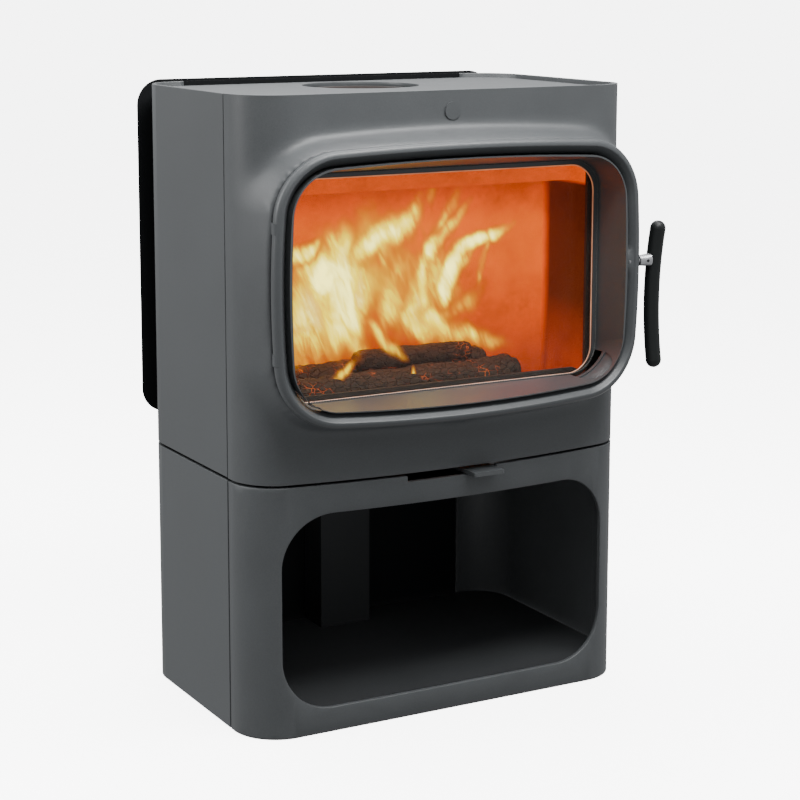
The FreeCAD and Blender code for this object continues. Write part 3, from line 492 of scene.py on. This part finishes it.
def split_log(name, start, end, radius, seed, material):
    """A charred split log: an uneven round with one flatter side, checked along its length."""
    axis = (end - start).normalized()
    side = axis.cross(Vector((0, 0, 1))).normalized()
    up = side.cross(axis)
    rings, sides = 70, 44
    verts, faces = [], []
    for i in range(rings + 1):
        t = i / rings
        centre = start.lerp(end, t)
        cap = min(1.0, min(t, 1 - t) * rings / 1.6) ** 0.4 if 0 < i < rings else 0.86
        for j in range(sides):
            angle = math.tau * j / sides
            shape = 1 - 0.25 * max(0.0, math.cos(angle - 2.4)) ** 2 - 0.1 * max(0.0, math.cos(angle + 0.9))
            spot = Vector((t * 9.0, math.cos(angle) * 1.3, math.sin(angle) * 1.3 + seed))
            bark = 0.09 * noise.fractal(spot, 1.0, 2.0, 5)
            check = 0.05 * abs(math.sin(t * 58 + 3.0 * noise.noise(spot * 1.7))) ** 3
            reach = radius * cap * (shape + bark - check)
            verts.append(centre + (side * math.cos(angle) + up * math.sin(angle)) * reach)
    for i in range(rings):
        for j in range(sides):
            k = (j + 1) % sides
            faces.append((i * sides + j, (i + 1) * sides + j, (i + 1) * sides + k, i * sides + k))
    for ring, centre in ((0, start), (rings, end)):
        verts.append(centre)
        hub = len(verts) - 1
        for j in range(sides):
            faces.append((ring * sides + j, ring * sides + (j + 1) % sides, hub))
    item = mesh_object(name, verts, faces, material)
    fix_normals(item)


def ember_bed():
    """A low bed of ash and glowing coals on the firebox floor."""
    low, high = Vector((-0.262, -0.142, FIRE_FLOOR)), Vector((0.262, -0.038, FIRE_FLOOR))
    nx, ny = 120, 34
    verts = []
    for i in range(nx + 1):
        for j in range(ny + 1):
            x = low.x + (high.x - low.x) * i / nx
            y = low.y + (high.y - low.y) * j / ny
            mound = 0.022 * math.exp(-((x + 0.02) / 0.19) ** 4)
            z = low.z + 0.003 + mound + 0.007 * max(0.0, noise.fractal(Vector((x, y, 0)) * 55, 1.0, 2.0, 4))
            verts.append(Vector((x, y, z)))
    faces = []
    for i in range(nx):
        for j in range(ny):
            a = i * (ny + 1) + j
            faces.append((a, a + ny + 1, a + ny + 2, a + 1))
    item = mesh_object("ember_bed", verts, faces, ember_material())


def logs():
    """Three charred logs on the ember bed: start, end, radius and the seed of each one's surface."""
    char = char_material()
    ember_bed()
    stack = {
        "log_front": ((-0.225, -0.106, 0.482), (0.172, -0.098, 0.484), 0.036, 1.0),
        "log_back": ((-0.20, -0.066, 0.500), (0.13, -0.070, 0.504), 0.029, 5.0),
        "log_top": ((-0.10, -0.088, 0.527), (0.10, -0.080, 0.524), 0.020, 9.0),
    }
    for name, (start, end, radius, seed) in stack.items():
        split_log(name, Vector(start), Vector(end), radius, seed, char)


def flame_material():
    """Burning gas, clear where it is thin, torn into strands that rise and lean to the right."""
    g = Graph("flame")
    heat = g.add("ShaderNodeAttribute", attribute_name="fire_heat").outputs["Fac"]
    leaning = g.add("ShaderNodeMapping", {"Vector": g.place, "Rotation": (0.0, 0.45, 0.0)}).outputs[0]
    strand = g.noise(30.0, 4.0, 0.55, g.stretched(1.0, 1.0, 0.28, leaning), 0.7)
    tear = g.noise(95.0, 3.0, 0.6, g.stretched(1.0, 1.0, 0.2, leaning), 0.9)
    ragged = g.math("MULTIPLY", g.span(strand, 0.3, 0.64, 0.35, 1.15), g.span(tear, 0.25, 0.7, 0.6, 1.1))
    density = g.math("MULTIPLY", heat, ragged)
    colour = g.add("ShaderNodeValToRGB", {0: density})
    stops = colour.color_ramp.elements
    stops[0].position, stops[0].color = 0.0, (1.0, 0.13, 0.0, 1.0)
    stops[1].position, stops[1].color = 1.0, (1.0, 0.92, 0.22, 1.0)
    for place, tint in ((0.25, (1.0, 0.38, 0.0, 1.0)), (0.6, (1.0, 0.74, 0.01, 1.0))):
        stops.new(place).color = tint
    strength = g.span(density, 0.1, 1.3, 0.8, 3.8)
    light = g.add("ShaderNodeEmission", {"Color": colour.outputs[0], "Strength": strength})
    cover = g.span(density, 0.03, 0.6, 0.0, 0.97)
    clear = g.add("ShaderNodeBsdfTransparent")
    return g.surface(g.add("ShaderNodeMixShader", {0: cover, 1: clear, 2: light}))


# the flames' sheets by depth, and the flames as curved strokes: points (x, z) from the base up, half
# width, heat, and the sheet it burns in
SHEETS = (-0.128, -0.106, -0.084, -0.062)
STROKES = (
    (((-0.125, 0.555), (-0.132, 0.62), (-0.140, 0.675), (-0.128, 0.735)), 0.030, 1.50, 1),
    (((-0.105, 0.590), (-0.100, 0.640), (-0.118, 0.700)), 0.022, 0.90, 2),
    (((-0.155, 0.640), (-0.185, 0.675), (-0.205, 0.690)), 0.016, 0.90, 1),
    (((-0.255, 0.695), (-0.215, 0.700), (-0.178, 0.722)), 0.012, 1.25, 0),
    (((-0.130, 0.680), (-0.080, 0.712), (-0.030, 0.738), (-0.005, 0.785)), 0.017, 1.05, 0),
    (((-0.075, 0.700), (-0.045, 0.722), (-0.020, 0.712)), 0.014, 1.10, 2),
    (((-0.060, 0.610), (-0.050, 0.660), (-0.062, 0.715), (-0.050, 0.770)), 0.026, 0.60, 3),
    (((0.004, 0.572), (0.002, 0.640), (0.018, 0.692), (0.050, 0.728), (0.098, 0.768)), 0.011, 1.00, 1),
    (((0.026, 0.590), (0.034, 0.650), (0.060, 0.697), (0.106, 0.708), (0.168, 0.732)), 0.011, 1.45, 0),
    (((0.070, 0.690), (0.088, 0.668), (0.100, 0.690)), 0.009, 0.95, 2),
    (((0.050, 0.700), (0.080, 0.745), (0.108, 0.790)), 0.010, 0.50, 3),
    (((0.112, 0.620), (0.122, 0.680), (0.148, 0.722)), 0.007, 0.42, 2),
    (((0.000, 0.590), (0.050, 0.572), (0.118, 0.548), (0.182, 0.522)), 0.014, 0.75, 2),
    (((0.010, 0.566), (0.090, 0.545), (0.150, 0.518)), 0.020, 0.42, 3),
    (((-0.085, 0.598), (-0.052, 0.556), (-0.010, 0.524)), 0.008, 0.70, 1),
    (((-0.100, 0.580), (-0.085, 0.545), (-0.040, 0.515)), 0.012, 0.45, 3),
    (((-0.110, 0.548), (-0.160, 0.506), (-0.205, 0.478)), 0.0055, 0.62, 0),
    (((-0.205, 0.510), (-0.210, 0.550), (-0.198, 0.600)), 0.014, 0.50, 2),
    (((-0.245, 0.560), (-0.225, 0.580), (-0.160, 0.600)), 0.007, 0.45, 1),
    (((-0.240, 0.500), (-0.235, 0.590), (-0.245, 0.660)), 0.020, 0.38, 3),
    (((-0.026, 0.470), (-0.022, 0.495), (-0.029, 0.524)), 0.0045, 1.10, 0),
    (((-0.010, 0.735), (0.018, 0.782), (0.024, 0.830)), 0.010, 0.28, 1),
    (((0.010, 0.560), (0.060, 0.620), (0.100, 0.640)), 0.034, 0.30, 3),
    (((-0.200, 0.520), (-0.130, 0.600), (-0.080, 0.680)), 0.070, 0.42, 3),
    (((-0.170, 0.600), (-0.070, 0.690), (0.060, 0.730)), 0.050, 0.46, 2),
    (((-0.180, 0.560), (-0.150, 0.640), (-0.090, 0.720)), 0.040, 0.70, 3),
    (((0.000, 0.560), (0.040, 0.640), (0.080, 0.700)), 0.034, 0.50, 3),
    (((-0.060, 0.570), (-0.040, 0.650), (0.000, 0.730)), 0.020, 0.60, 1),
    (((0.040, 0.585), (0.080, 0.600), (0.130, 0.640)), 0.014, 0.40, 1),
)
FLAME_X = (-0.262, 0.245)
FLAME_Z = (0.462, 0.784)
FLAME_STEPS = (250, 170)


def stroke_heat(x, z, points, reach):
    """How strongly a curved stroke burns at each place: full along its line, fading to both ends."""
    knots = np.array(points)
    share = np.linspace(0, 1, len(knots))
    steps = np.linspace(0, 1, 70)
    line = [np.interp(steps, share, knots[:, k]) for k in (0, 1)]
    for _ in range(3):
        line = [np.convolve(np.pad(part, 4, mode="edge"), np.ones(9) / 9, mode="valid") for part in line]
    best = np.zeros_like(x)
    for t, px, pz in zip(steps, *line):
        width = reach * (0.45 + 0.75 * math.sin(math.pi * min(1.0, 0.15 + 0.8 * t)))
        fade = min(1.0, t / 0.16) * min(1.0, (1 - t) / 0.4) ** 0.7
        away = ((x - px) ** 2 + (z - pz) ** 2) / width ** 2
        best = np.maximum(best, fade * np.exp(-away))
    return best


def fire():
    """Four thin sheets of flame, one behind the other, between the logs and the rear board."""
    material = flame_material()
    (nx, nz), (low_x, high_x), (low_z, high_z) = FLAME_STEPS, FLAME_X, FLAME_Z
    for layer, depth in enumerate(SHEETS):
        verts, warped = [], []
        for i in range(nx + 1):
            for j in range(nz + 1):
                x = low_x + (high_x - low_x) * i / nx
                z = low_z + (high_z - low_z) * j / nz
                sway = noise.noise_vector(Vector((x * 16, layer * 3.1, z * 11)))
                flick = noise.noise_vector(Vector((x * 45, layer * 7.3, z * 24)))
                verts.append(Vector((x, depth + 0.006 * sway.y, z)))
                warped.append((x + 0.011 * sway.x + 0.005 * flick.x, z + 0.011 * sway.z + 0.006 * flick.z))
        places = np.array(warped)
        heat = np.zeros(len(verts))
        for points, reach, strength, sheet in STROKES:
            if sheet == layer:
                heat += strength * stroke_heat(places[:, 0], places[:, 1], points, reach)
        rows = nz + 1
        faces = [(i * rows + j, (i + 1) * rows + j, (i + 1) * rows + j + 1, i * rows + j + 1)
                 for i in range(nx) for j in range(nz)]
        item = mesh_object(f"flames_{layer}", verts, faces, material)
        attribute = item.data.attributes.new("fire_heat", "FLOAT", "POINT")
        attribute.data.foreach_set("value", heat.astype(np.float32))
        item.visible_shadow = False
        item.visible_diffuse = False


def lamp(name, place, aim, energy, sides, colour=(1.0, 1.0, 1.0)):
    """A rectangular soft light at a place, turned towards its aim."""
    data = bpy.data.lights.new(name, "AREA")
    data.energy = energy
    data.color = colour
    data.shape = "RECTANGLE"
    data.size, data.size_y = sides
    item = bpy.data.objects.new(name, data)
    bpy.context.scene.collection.objects.link(item)
    item.location = place
    item.rotation_euler = (Vector(aim) - Vector(place)).to_track_quat("-Z", "Y").to_euler()


def fire_light():
    """Warm light from the flames on the boards and the logs."""
    lamp("fire_rear", (-0.04, -0.135, 0.64), (-0.04, 0.0, 0.64), 0.12, (0.42, 0.24), (1.0, 0.13, 0.002))
    lamp("fire_low", (-0.04, -0.10, 0.60), (-0.04, -0.10, 0.4), 0.16, (0.36, 0.06), (1.0, 0.25, 0.03))


# ---------------------------------------------------------------- floor, lights and camera

def studio_floor():
    """Pale seamless floor that turns up into a backdrop and is lit to near white."""
    g = Graph("studio_floor")
    tone = g.blend(g.noise(3.0, 3.0, 0.5), (0.86, 0.86, 0.86), (0.9, 0.9, 0.9))
    white = (1.0, 1.0, 1.0, 1.0)
    material = g.surface(g.principled(colour=tone, rough=0.7, specular=0.2, glow=white, power=5.5))
    half, turn, rise = 14.0, 3.0, 9.0
    profile = [(-half, 0.0), (half - turn, 0.0)]
    for n in range(1, 17):
        angle = math.radians(90 * n / 16)
        profile.append((half - turn + turn * math.sin(angle), turn - turn * math.cos(angle)))
    profile.append((half, rise))
    away = Matrix.Rotation(math.radians(-29), 4, "Z")
    verts = [away @ Vector((x, y, z)) for y, z in profile for x in (-half, half)]
    faces = [(2 * n, 2 * n + 1, 2 * n + 3, 2 * n + 2) for n in range(len(profile) - 1)]
    floor = mesh_object("studio_floor", verts, faces, material)
    floor.visible_diffuse = False
    floor.visible_glossy = False


def studio():
    """Even daylight, a strong side light from the left, and soft lights above the front and the top."""
    world = bpy.data.worlds.new("studio")
    world.use_nodes = True
    sky = world.node_tree.nodes["Background"].inputs
    sky["Color"].default_value = (0.97, 0.985, 1.0, 1.0)
    sky["Strength"].default_value = 0.72
    bpy.context.scene.world = world
    target = (0.0, 0.0, 0.5)
    lamp("key", (-3.0, 0.9, 2.0), target, 110.0, (1.4, 2.2))
    lamp("corner", (-1.9, -2.0, 2.3), (-0.3, -0.2, 0.7), 9.0, (0.6, 0.9))
    lamp("brow", (0.2, -0.95, 2.3), (0.0, -0.1, 0.8), 110.0, (1.8, 0.6))
    lamp("fill", (2.6, -2.2, 1.6), target, 6.0, (1.2, 2.0))
    lamp("store", (-0.05, -0.05, 0.325), (0.05, 0.04, 0.05), 0.32, (0.4, 0.2))
    lamp("top", (0.0, 0.9, 3.0), target, 150.0, (2.6, 2.0))


def camera():
    """Camera at the viewer's left of the stove, a little above it."""
    data = bpy.data.cameras.new("camera")
    data.lens = 91.67
    data.sensor_width = 36.0
    data.shift_x = 0.031
    data.shift_y = -0.12
    data.clip_start, data.clip_end = 0.05, 60.0
    item = bpy.data.objects.new("camera", data)
    bpy.context.scene.collection.objects.link(item)
    item.location = (-1.514, -2.741, 1.112)
    item.rotation_euler = (math.radians(90 - 9.39), 0.0, math.radians(-28.63))
    bpy.context.scene.camera = item


ease_edges(("base_front", "base_side_left", "base_side_right", "side_panel_left", "side_panel_right",
            "top_plate", "air_lever"), 0.0012)
door_casting()
pane_trim()
logs()
fire()
fire_light()
studio_floor()
studio()
camera()
